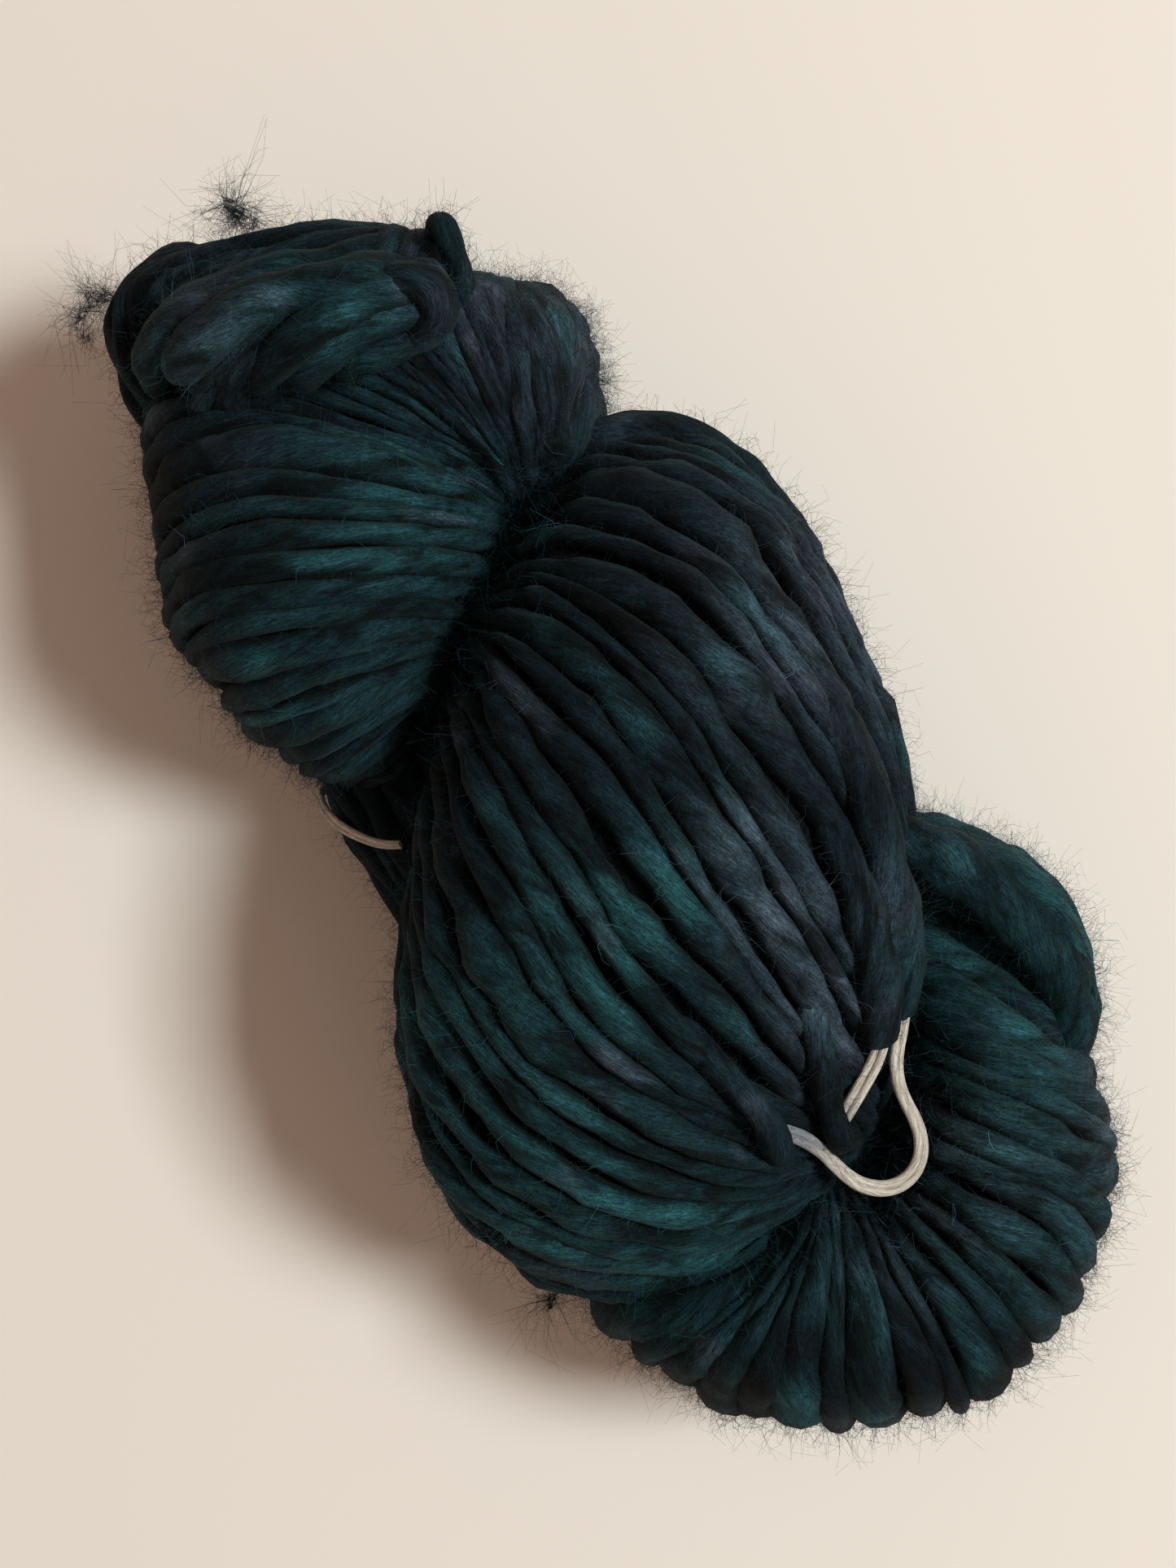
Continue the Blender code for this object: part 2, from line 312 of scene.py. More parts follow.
# Where the dye shows another tone: a place in plan, how far it reaches, and how strong it is. The last
# list is painted shade, a blue-grey on the cotton ties where they lie in shadow.
Patch = namedtuple("Patch", "place reach strength")

PATCHES = {
    "slate": (
        Patch((-9, 53), 20, 0.8), Patch((16, 17), 8, 1.0), Patch((32, 14.5), 8, 1.4),
        Patch((49, 13.5), 8, 1.4), Patch((56, 14), 7, 1.3), Patch((107, 45), 10, 0.6),
        Patch((102, -7), 9, 0.6), Patch((-90, 45), 22, 0.35), Patch((45, 38), 12, 0.4),
        Patch((95, 18), 14, 0.4), Patch((-127, -8), 12, 0.5),
    ),
    "bright": (
        Patch((-73, 0), 20, 0.55), Patch((-60, -22), 16, 0.35), Patch((12, -14), 14, 0.9),
        Patch((24, -17), 12, 0.9), Patch((15, 2), 12, 0.6), Patch((16, -42), 16, 0.5),
        Patch((61, 40), 14, 0.7), Patch((104, -16), 9, 0.5), Patch((87, 38), 12, 0.5),
        Patch((115, 18), 12, 0.5), Patch((-106, 16), 8, 0.6), Patch((-127, -14), 7, 0.7),
        Patch((-119, 8), 8, 0.5), Patch((46, -48), 20, 0.7), Patch((78, -37), 16, 0.8),
        Patch((104, 8), 16, 0.4), Patch((-109, 39), 4, 1.0), Patch((93, 29), 14, 0.7),
        Patch((45, 54), 9, 0.6), Patch((60, 62), 9, 0.7), Patch((75, 64), 9, 0.7), Patch((88, 60), 9, 0.6),
    ),
    "dark": (
        Patch((-90, 38), 16, 0.5), Patch((-30, 35), 25, 0.5), Patch((110, -42), 22, 1.0),
        Patch((129, -2), 10, 0.8), Patch((121, -11), 12, 1.0), Patch((66, 5), 12, 0.8),
        Patch((76, 4), 8, 1.0), Patch((-105, -30), 18, 0.5), Patch((-25, 5), 18, 0.4),
        Patch((62, 24), 9, 0.9), Patch((-100, -30), 22, 0.6), Patch((-135, 5), 14, 0.7),
        Patch((-25, -20), 20, 0.4), Patch((-79, -16), 12, 0.8), Patch((-119, -6), 9, 0.6),
        Patch((57, 49), 5, 1.0),
    ),
    # painted shade on the cotton ties, where they lie in shadow
    "tie_painted_shade": (Patch((69, -7), 7.5, 0.85), Patch((74.5, 0), 5, 0.6)),
}

# The ties' routes, as the CAD has them.
LOWER_TIE_ROUTE = (
    (66.4, -8.6, 86.0),
    (70.0, -6.4, 83.4),
    (74.6, -4.9, 79.4),
    (79.2, -4.3, 75.8),
    (83.2, -3.6, 73.6),
    (86.8, -2.2, 72.4),
    (89.8, 0.6, 71.6),
    (91.2, 4.0, 71.2),
    (90.9, 7.4, 71.0),
    (89.2, 10.4, 70.6),
    (86.4, 12.6, 70.0),
    (83.0, 13.8, 69.4),
    (79.4, 14.4, 69.0),
    (75.8, 15.3, 69.0),
    (72.4, 17.0, 69.2),
    (69.4, 19.4, 69.4),
    (66.6, 22.2, 69.6),
    (63.8, 24.8, 69.8),
    (60.8, 27.6, 70.0),
    (57.8, 30.4, 70.6),
)

LOWER_TIE_UNDER_ROUTE = (
    (73.8, -0.9, 78.2),
    (72.7, 2.2, 78.0),
    (71.4, 5.4, 77.9),
    (70.2, 8.4, 77.3),
    (69.0, 11.4, 76.5),
    (67.4, 14.6, 75.8),
    (65.0, 17.8, 75.4),
    (61.8, 21.0, 75.7),
    (58.2, 24.0, 76.3),
    (54.6, 26.8, 77.0),
    (51.0, 29.4, 77.5),
)

UPPER_TIE_ROUTE = (
    (-43.3, -48.5, 6.0),
    (-43.0, -49.3, 10.0),
    (-42.2, -49.7, 14.0),
    (-40.8, -49.8, 18.0),
    (-38.8, -49.8, 22.0),
    (-36.4, -49.3, 26.0),
    (-33.8, -48.5, 29.6),
    (-31.2, -47.3, 32.6),
    (-28.6, -45.7, 35.3),
    (-26.0, -43.9, 37.4),
    (-23.8, -41.7, 39.2),
    (-22.0, -39.2, 40.4),
)

# Single stretches of yarn that lie over the lobes: half their width, and their middle line.
Rope = namedtuple("Rope", "half_width route")

ROPES = {
    "arch_strand": Rope(
        6.3,
        ((27, 37, 44), (37, 44.6, 55), (46, 49.6, 60.5), (55, 52.8, 62.4), (63.6, 54.6, 62.2),
         (72.2, 55.4, 60.8), (80.8, 54.8, 58), (88.6, 51.8, 53), (95.6, 46, 45)),
    ),
    "fat_strand": Rope(
        5.3,
        ((4, 46, 74), (12, 45.5, 78), (22, 43.5, 79), (34.3, 39.6, 77.5), (44.4, 35, 76.2),
         (51, 31.7, 74.6), (57, 28.3, 72.6), (60.5, 25.2, 69.8), (61.5, 21.5, 65)),
    ),
    "strand_over_tie": Rope(
        4.6,
        ((22, 34, 77), (29, 32.4, 81.5), (37, 30.6, 82.4), (45, 27.9, 81.8), (52, 25, 80.8),
         (58, 21.7, 79.6), (62.5, 18.8, 77.6), (65, 16.8, 71)),
    ),
    "strand_beside_tie": Rope(
        3.1,
        ((44, 13, 78), (52, 9.4, 82.6), (60, 5.4, 83.6), (66, 2.8, 83.4), (70, 1.2, 82.8), (73, 0.2, 81.8),
         (75.5, -0.4, 79), (77, -1, 73)),
    ),
    "strand_by_loop": Rope(
        3.2,
        ((36, -12.6, 85), (44, -12.2, 88.6), (51, -11, 89.6), (57.5, -10, 89.2), (62.5, -9.8, 88),
         (67, -10.6, 85), (70.5, -11.6, 79.6), (72.5, -12.2, 72)),
    ),
    "stub": Rope(3.5, ((-46, 4.5, 58), (-44, 2.8, 64), (-40, -0.2, 65.5), (-35.6, -4, 62), (-32, -8, 55))),
    "first_hump": Rope(
        3.9, ((-105, 21, 78), (-110, 25, 81.5), (-115, 29.5, 80), (-117, 32.5, 74), (-114, 34, 62))
    ),
    "second_hump": Rope(
        3.9, ((-102, 25, 78), (-107, 29, 82.5), (-111, 33, 81), (-113, 36, 75), (-110, 37, 63))
    ),
    "shoulder_strand": Rope(
        4.6,
        ((-66, 36, 50), (-64.4, 44.6, 52), (-60.6, 53, 51), (-54.5, 59.4, 49), (-45.8, 63.6, 47),
         (-32, 65.4, 45), (-20, 65, 42), (-9, 63.5, 38), (2, 58, 34), (8, 51, 32)),
    ),
    "standing_loop": Rope(
        3.0,
        ((-101, 36.4, 66), (-103, 37.8, 75), (-105.2, 38.8, 82), (-108, 39.8, 87), (-111, 40.4, 88),
         (-112.6, 40.2, 84), (-112.4, 39.2, 77), (-110, 37.5, 69)),
    ),
    "end_loop": Rope(
        4.0,
        ((-110, 21, 88), (-107.5, 25, 92), (-105, 29, 93.4), (-101.8, 31.2, 92.5), (-98.4, 30.2, 90),
         (-97, 26.5, 87), (-98.4, 21, 83)),
    ),
    "top_rope": Rope(
        3.9,
        ((-127.7, -19.6, 73), (-129.5, -15.2, 77.5), (-130, -8, 80), (-127.5, 0.2, 82), (-124.1, 9.9, 82.5),
         (-120, 19, 81), (-116.7, 26.8, 78.5), (-113.6, 32.6, 73)),
    ),
    "knob_rope": Rope(
        4.7,
        ((-119.3, -17.4, 82), (-119.5, -13.2, 88), (-119.4, -6.7, 92), (-119.2, 0.7, 94), (-116.9, 8.5, 94),
         (-113.3, 16.2, 93.5), (-110.2, 23.8, 91), (-108.9, 30.2, 86)),
    ),
    "middle_rope": Rope(
        4.2,
        ((-110.7, -8.1, 80), (-109.1, -3.1, 87), (-108.7, 3.7, 92), (-108.7, 10.5, 94), (-108, 17.1, 94),
         (-106.3, 24.1, 93), (-104.6, 30.5, 90), (-103.6, 34.7, 84)),
    ),
    "lower_rope": Rope(
        3.9,
        ((-107.3, -1.8, 80), (-105.2, 4.2, 87), (-104.3, 10.5, 90.5), (-104.2, 17.1, 91.5),
         (-102.8, 23.5, 90.5), (-101.1, 28.8, 87), (-99.8, 32.7, 80)),
    ),
    "short_rope": Rope(
        3.4,
        ((-103.2, 6.8, 79), (-101.2, 12.8, 84), (-98.8, 18.6, 86), (-98.2, 24.5, 85), (-99.3, 29.6, 80)),
    ),
    "tip_rope": Rope(
        3.8,
        ((-124, -21, 58), (-125, -21.5, 68), (-126.3, -19.4, 77), (-127.1, -15.5, 84), (-127, -11.1, 87),
         (-125.6, -6.4, 88), (-124.6, -2.2, 86)),
    ),
}

# Wads of loose fibre on the outline: where, how big round, and of how many hairs.
Tuft = namedtuple("Tuft", "place radius hairs")

TUFTS = (
    Tuft((-144.2, 10.4, 71), 0.9, 45),
    Tuft((-141.6, 10.9, 70), 1.3, 95),
    Tuft((-138.6, 11.6, 69), 1.2, 70),
    Tuft((-146.8, -20.4, 58), 0.9, 50),
    Tuft((-148, -23.6, 58), 1.0, 65),
    Tuft((-147.2, -26.6, 57), 0.8, 40),
    Tuft((-143.4, -29, 56), 0.6, 35),
    Tuft((76, -71, 32), 0.8, 45),
    Tuft((77.6, -72.6, 31), 0.6, 30),
)

# A turn of yarn ready to be swept: arrays with one entry for each point along its middle.
Turn = namedtuple("Turn", "centre side up half_width half_height along number")


# ---- The lobes' surfaces ----


def row_values(rows, place):
    """The rows of a table read at places between them, on a smooth curve through them."""
    place = np.clip(place, 0, len(rows) - 1)
    first = np.minimum(place.astype(int), len(rows) - 2)
    t = (place - first)[:, None]
    padded = np.vstack([2 * rows[0] - rows[1], rows, 2 * rows[-1] - rows[-2]])
    before, near, far, after = (padded[first + step] for step in range(4))
    return (
        (2 * t**3 - 3 * t**2 + 1) * near
        + (t**3 - 2 * t**2 + t) * (far - before) / 2
        + (3 * t**2 - 2 * t**3) * far
        + (t**3 - t**2) * (after - near) / 2
    )


def rounded(wave):
    return np.sign(wave) * np.abs(wave) ** (2 / ROUNDNESS)


def section_points(left, right, crest, foot, bow, angle):
    """Points on upright sections between plan places, one section for each angle."""
    across = rounded(np.cos(angle))[:, None]
    up = rounded(np.sin(angle))
    widest = foot + WIDEST_SHARE * (crest - foot)
    height = np.where(up >= 0, crest - widest, widest - foot)
    reach = (right - left) / 2
    sideways = np.column_stack([-reach[:, 1], reach[:, 0]]) / np.hypot(*reach.T)[:, None]
    plan = (left + right) / 2 + across * reach + bow[:, None] * (1 - across**2) * sideways
    return np.column_stack([plan, widest + up * height])


def wrap_surface(wraps):
    rows = np.array([(*w.inner, *w.outer, w.crest, w.bow) for w in wraps], float)

    def surface(place, angle):
        values = row_values(rows, place)
        foot = np.full(len(values), FOOT)
        return section_points(values[:, 0:2], values[:, 2:4], values[:, 4], foot, values[:, 5], angle)

    return surface


def span_surface(spans):
    return wrap_surface([Wrap(s.left, s.right, s.crest, 0) for s in spans])


def station_surface(stations):
    rows = np.array([(*s.middle, s.half_width, s.crest, s.foot) for s in stations], float)

    def surface(place, angle):
        values = row_values(rows, place)
        heading = (row_values(rows, place + 0.1) - row_values(rows, place - 0.1))[:, 0:2]
        side = np.column_stack([-heading[:, 1], heading[:, 0]]) / np.hypot(*heading.T)[:, None]
        reach = side * values[:, 2:3]
        middle = values[:, 0:2]
        return section_points(middle + reach, middle - reach, values[:, 3], values[:, 4], 0 * place, angle)

    return surface


# ---- Laying the turns ----


def unit(vectors):
    return vectors / np.maximum(np.linalg.norm(vectors, axis=1), 1e-9)[:, None]


def read_rows(rows, value, column=1):
    """A column of a table read at values of its first column, also between its rows."""
    table = np.array(rows, float)
    return np.interp(value, table[:, 0], table[:, column])


def fan_course(leans, first_angle, last_angle):
    """Each turn keeps near its own wrap, from the inner side over the crest and round the outer side."""

    def course(wrap, t):
        angle = first_angle + (last_angle - first_angle) * t
        up_from_outer = np.clip(angle, 0, 180) / 90 - 0.5
        return wrap + read_rows(leans, wrap) * up_from_outer, np.radians(angle)

    return course


def lengthwise_course(twists, spans):
    """Each turn runs the length of the lobe and goes slowly round it."""

    def course(angle, t):
        place = (spans - 1) * t
        return place, np.radians(angle + read_rows(twists, angle % 360) * (TWIST_CENTRE - place))

    return course


def helix_course(whole_twist, stations):
    def course(angle, t):
        return (stations - 1) * t, np.radians(angle + whole_twist * t)

    return course


def edges_of_turns(positions, points, spacing, chance):
    """The positions at which one turn ends and the next starts, for turns about as wide as spacing says."""
    steps = np.linalg.norm(np.diff(points, axis=0), axis=1) / spacing[:-1]
    count = np.concatenate([[0.0], np.cumsum(steps)])
    turns = max(3, round(count[-1]))
    wanted = np.arange(turns + 1) / turns * count[-1]
    wanted[1:-1] += chance.uniform(-UNEVENNESS, UNEVENNESS, turns - 1) * count[-1] / turns
    return np.interp(wanted, count, positions)


def wander(samples, waves, chance):
    """A slow wavering between about -1 and 1 along a turn."""
    t = np.linspace(0, 2 * pi, samples)
    slow, quick = chance.uniform(0, 2 * pi, 2)
    return 0.6 * np.sin(waves * t + slow) + 0.4 * np.sin(2.3 * waves * t + quick)


def lay_turn(surface, course, near, far, samples, overlap, sunk, number, chance):
    """One turn of yarn between two edges on a lobe, sunk in it by a share of its half height."""
    t = np.linspace(0, 1, samples)
    half = (far - near) / 2
    middle = (near + far) / 2 + wander(samples, SIDE_WAVES, chance) * half * SIDE_WANDER
    place, angle = course(middle, t)
    points = surface(place, angle)
    inside = sum(surface(place, np.full(samples, quarter * pi / 2)) for quarter in range(4)) / 4
    one_edge = surface(*course(middle - half, t))
    other_edge = surface(*course(middle + half, t))
    spread = one_edge - other_edge
    along_way = unit(np.gradient(points, axis=0))
    up = unit(np.cross(along_way, spread))
    up[(up * (points - inside)).sum(axis=1) < 0] *= -1
    side = unit(np.cross(up, along_way))
    half_width = np.clip(np.linalg.norm(spread, axis=1) / 2 * overlap, *HALF_WIDTH_RANGE)
    half_height = ROUND_HALF_WIDTH * (half_width / ROUND_HALF_WIDTH) ** FLATTENING
    half_height = np.clip(half_height, *HALF_HEIGHT_RANGE)
    lift = wander(samples, LIFT_WAVES, chance) * LIFT_WANDER
    reach = np.linalg.norm(points - inside, axis=1)
    depth = np.minimum(half_height * sunk + lift, reach * DEEPEST_SHARE)
    centre = points - up * depth[:, None]
    centre[:, 2] = np.maximum(centre[:, 2], half_height)
    steps = np.linalg.norm(np.diff(centre, axis=0), axis=1)
    along = np.concatenate([[0.0], np.cumsum(steps)])
    return Turn(centre, side, up, half_width, half_height, along, number)


def lay_turns(surface, course, edges, overlaps, sunk, samples, chance):
    return [
        lay_turn(surface, course, near, far, samples, overlap, sunk, number, chance)
        for number, (near, far, overlap) in enumerate(zip(edges[:-1], edges[1:], overlaps))
    ]


def fan_turns(wraps, leans, felt, samples, seed):
    """The turns of an end lump, which are closer or run together where the wool has felted."""
    chance = np.random.default_rng(seed)
    surface = wrap_surface(wraps)
    place = np.linspace(0, len(wraps) - 1, PLACES_COUNTED)
    brow = surface(place, np.full(PLACES_COUNTED, radians(BROW_ANGLE)))
    edges = edges_of_turns(place, brow, read_rows(felt, place), chance)
    course = fan_course(leans, FAN_START, FAN_END)
    return lay_turns(surface, course, edges, read_rows(felt, edges[:-1], 2), 1.0, samples, chance)


def ring_edges(surface, place, spacing, chance):
    """The angles at which turns meet, all round a lobe at one place along it."""
    angles = np.linspace(0, 360, ANGLES_COUNTED)
    ring = surface(np.full(ANGLES_COUNTED, float(place)), np.radians(angles))
    return edges_of_turns(angles, ring, np.full(ANGLES_COUNTED, spacing), chance)


def big_lobe_turns(samples, seed):
    chance = np.random.default_rng(seed)
    surface = span_surface(BIG_LOBE_SPANS)
    edges = ring_edges(surface, TWIST_CENTRE, BIG_LOBE_SPACING, chance)
    course = lengthwise_course(BIG_LOBE_TWISTS, len(BIG_LOBE_SPANS))
    overlaps = np.full(len(edges) - 1, BIG_LOBE_OVERLAP)
    return lay_turns(surface, course, edges, overlaps, 1.0, samples, chance)


def bundle_turns(bundle):
    """The turns of a bundle, twisted together along it."""
    chance = np.random.default_rng(bundle.seed)
    surface = station_surface(bundle.stations)
    edges = ring_edges(surface, bundle.station, bundle.spacing, chance)
    course = helix_course(bundle.twist, len(bundle.stations))
    overlaps = np.full(len(edges) - 1, bundle.overlap)
    return lay_turns(surface, course, edges, overlaps, bundle.sunk, bundle.points, chance)


# ---- Meshes ----


def placed(points):
    """Places of the tables, in the hank's own frame and in metres."""
    return (np.asarray(points) - (*BOX_MIDDLE, 0.0)) * MM


def add_object(name, mesh):
    piece = bpy.data.objects.new(name, mesh)
    bpy.context.scene.collection.objects.link(piece)
    return piece


def store(mesh, name, kind, values):
    attribute = mesh.attributes.new(name, kind, "POINT")
    field = "vector" if kind == "FLOAT_VECTOR" else "value"
    attribute.data.foreach_set(field, np.ascontiguousarray(values, np.float32).ravel())


def patches_at(points, patches):
    """How strongly the dye's patches show at each point."""
    strength = np.zeros(len(points))
    for patch in patches:
        distance = np.hypot(*(points[:, 0:2] - patch.place).T)
        strength = np.maximum(strength, patch.strength * np.exp(-((distance / patch.reach) ** 2)))
    return strength


def turns_mesh(name, turns):
    """Open lines along the turns' middles, with all that the sweep needs stored on their points."""
    counts = [len(turn.along) for turn in turns]
    starts = np.concatenate([[0], np.cumsum(counts)[:-1]])
    edges = [
        (start + step, start + step + 1)
        for start, count in zip(starts, counts)
        for step in range(count - 1)
    ]
    centre = np.vstack([turn.centre for turn in turns])
    mesh = bpy.data.meshes.new(name)
    mesh.from_pydata(placed(centre).tolist(), edges, [])
    store(mesh, "centre", "FLOAT_VECTOR", placed(centre))
    for field in ("side", "up"):
        store(mesh, field, "FLOAT_VECTOR", np.vstack([getattr(turn, field) for turn in turns]))
    for field in ("half_width", "half_height", "along"):
        store(mesh, field, "FLOAT", np.concatenate([getattr(turn, field) for turn in turns]))
    store(mesh, "turn", "FLOAT", np.repeat([float(turn.number) for turn in turns], counts))
    for tone, patches in PATCHES.items():
        store(mesh, tone, "FLOAT", patches_at(centre, patches))
    return mesh


def face_outwards(mesh):
    shell = bmesh.new()
    shell.from_mesh(mesh)
    bmesh.ops.recalc_face_normals(shell, faces=shell.faces)
    shell.to_mesh(mesh)
    shell.free()


# ---- Node helpers ----


def add(tree, kind, inputs=None, **settings):
    """A node with its settings, each input linked to a socket or set to a value."""
    node = tree.nodes.new(kind)
    for name, value in settings.items():
        setattr(node, name, value)
    for key, value in (inputs or {}).items():
        if isinstance(value, bpy.types.NodeSocket):
            tree.links.new(value, node.inputs[key])
        else:
            node.inputs[key].default_value = value
    return node


def maths(tree, operation, first, second=0.0):
    return add(tree, "ShaderNodeMath", {0: first, 1: second}, operation=operation).outputs[0]


def multiply_add(tree, value, factor, extra):
    inputs = {0: value, 1: factor, 2: extra}
    return add(tree, "ShaderNodeMath", inputs, operation="MULTIPLY_ADD").outputs[0]


def vector_maths(tree, operation, first, second):
    return add(tree, "ShaderNodeVectorMath", {0: first, 1: second}, operation=operation).outputs[0]


def scaled(tree, vector, factor):
    return add(tree, "ShaderNodeVectorMath", {0: vector, "Scale": factor}, operation="SCALE").outputs[0]


def joined(tree, x, y, z):
    return add(tree, "ShaderNodeCombineXYZ", {0: x, 1: y, 2: z}).outputs[0]


def over_floor(tree, place, least):
    """A place kept at least so far above the floor."""
    split = add(tree, "ShaderNodeSeparateXYZ", {0: place})
    return joined(tree, split.outputs[0], split.outputs[1], maths(tree, "MAXIMUM", split.outputs[2], least))


def named(tree, name, kind="FLOAT"):
    node = add(tree, "GeometryNodeInputNamedAttribute", {"Name": name}, data_type=kind)
    return node.outputs["Attribute"]


def stored(tree, geometry, name, value, kind="FLOAT"):
    """The geometry with a value stored on each of its points."""
    inputs = {"Geometry": geometry, "Name": name, "Value": value}
    return add(tree, "GeometryNodeStoreNamedAttribute", inputs, data_type=kind).outputs[0]


def noise(tree, place, scale, detail, output=0, **more):
    inputs = {"Vector": place, "Scale": scale, "Detail": detail, **more}
    return add(tree, "ShaderNodeTexNoise", inputs).outputs[output]


def centred_noise(tree, place, detail, amount):
    """Noise about 0, of a given amount."""
    value = maths(tree, "SUBTRACT", noise(tree, place, 1.0, detail), 0.5)
    return maths(tree, "MULTIPLY", value, amount)


def finish_tree(tree, geometry, finish):
    """Smooth shading, one whole mesh and its finish, at the end of a tree."""
    smooth = add(tree, "GeometryNodeSetShadeSmooth", {"Geometry": geometry})
    whole = add(tree, "GeometryNodeRealizeInstances", {"Geometry": smooth.outputs[0]})
    finished = add(tree, "GeometryNodeSetMaterial", {"Geometry": whole.outputs[0], "Material": finish})
    add(tree, "NodeGroupOutput", {0: finished.outputs[0]})


def new_tree(name, settings):
    """A Geometry Nodes tree with a geometry in and out, and its named settings."""
    tree = bpy.data.node_groups.new(name, "GeometryNodeTree")
    tree.interface.new_socket("Geometry", in_out="INPUT", socket_type="NodeSocketGeometry")
    tree.interface.new_socket("Geometry", in_out="OUTPUT", socket_type="NodeSocketGeometry")
    for label, kind in settings.items():
        tree.interface.new_socket(label, in_out="INPUT", socket_type=kind)
    return tree, add(tree, "NodeGroupInput").outputs


def run_tree(tree, mesh, name, settings):
    """The tree's result on a mesh, as a plain mesh object."""
    piece = add_object(name, mesh)
    modifier = piece.modifiers.new("made", "NODES")
    modifier.node_group = tree
    for item in tree.interface.items_tree:
        if item.in_out == "INPUT" and item.name in settings:
            modifier[item.identifier] = settings[item.name]
    graph = bpy.context.evaluated_depsgraph_get()
    made = bpy.data.meshes.new_from_object(
        piece.evaluated_get(graph), preserve_all_data_layers=True, depsgraph=graph
    )
    piece.modifiers.remove(modifier)
    piece.data = made
    return piece


# ---- The trees ----


def sweep_tree():
    """Sweeps yarn along each line, with slubs and small lumps, and stores how its wool lies."""
    tree, given = new_tree(
        "yarn along its turns",
        {
            "Sides": "NodeSocketInt",
            "Slub Amount": "NodeSocketFloat",
            "Slub Length": "NodeSocketFloat",
            "Lump Amount": "NodeSocketFloat",
            "Lump Length": "NodeSocketFloat",
            "Least Outer": "NodeSocketFloat",
            "Seed": "NodeSocketFloat",
            "Finish": "NodeSocketMaterial",
        },
    )
    circle = add(tree, "GeometryNodeCurvePrimitiveCircle", {"Resolution": given["Sides"]})
    parameter = add(tree, "GeometryNodeSplineParameter")
    profile = stored(tree, circle.outputs["Curve"], "around", parameter.outputs["Factor"])
    line = add(tree, "GeometryNodeMeshToCurve", {"Mesh": given["Geometry"]})
    swept = add(
        tree,
        "GeometryNodeCurveToMesh",
        {"Curve": line.outputs[0], "Profile Curve": profile, "Fill Caps": True},
    )
    turn_angle = maths(tree, "MULTIPLY", named(tree, "around"), 2 * pi)
    cosine = maths(tree, "COSINE", turn_angle)
    sine = maths(tree, "SINE", turn_angle)
    along = named(tree, "along")
    shift = maths(tree, "MULTIPLY", named(tree, "turn"), SLUB_SHIFT)
    slub_place = joined(tree, maths(tree, "DIVIDE", along, given["Slub Length"]), shift, given["Seed"])
    slub = centred_noise(tree, slub_place, 1.0, given["Slub Amount"])
    thickness = multiply_add(tree, slub, SLUB_GAIN, 1.0)
    along_lumps = maths(tree, "DIVIDE", along, given["Lump Length"])
    lump_place = joined(tree, maths(tree, "ADD", cosine, shift), sine, along_lumps)
    lump = centred_noise(tree, lump_place, 2.0, given["Lump Amount"])
    wide = maths(tree, "ADD", maths(tree, "MULTIPLY", named(tree, "half_width"), thickness), lump)
    high = maths(tree, "ADD", maths(tree, "MULTIPLY", named(tree, "half_height"), thickness), lump)
    across = maths(tree, "MULTIPLY", cosine, wide)
    upwards = maths(tree, "MULTIPLY", sine, high)
    sideways = scaled(tree, named(tree, "side", "FLOAT_VECTOR"), maths(tree, "MULTIPLY", across, MM))
    raised = scaled(tree, named(tree, "up", "FLOAT_VECTOR"), maths(tree, "MULTIPLY", upwards, MM))
    skin = vector_maths(tree, "ADD", named(tree, "centre", "FLOAT_VECTOR"), sideways)
    skin = vector_maths(tree, "ADD", skin, raised)
    place = {"Geometry": swept.outputs[0], "Position": over_floor(tree, skin, 0.0)}
    shaped = add(tree, "GeometryNodeSetPosition", place).outputs[0]
    spun = multiply_add(tree, along, SPIN * 2 * pi, turn_angle)
    lie = joined(
        tree,
        maths(tree, "MULTIPLY", maths(tree, "COSINE", spun), wide),
        maths(tree, "MULTIPLY", maths(tree, "SINE", spun), high),
        multiply_add(tree, named(tree, "turn"), DYE_SHIFT, along),
    )
    kept = stored(tree, shaped, "lie", lie, "FLOAT_VECTOR")
    kept = stored(tree, kept, "outer", maths(tree, "MAXIMUM", sine, given["Least Outer"]))
    finish_tree(tree, kept, given["Finish"])
    return tree


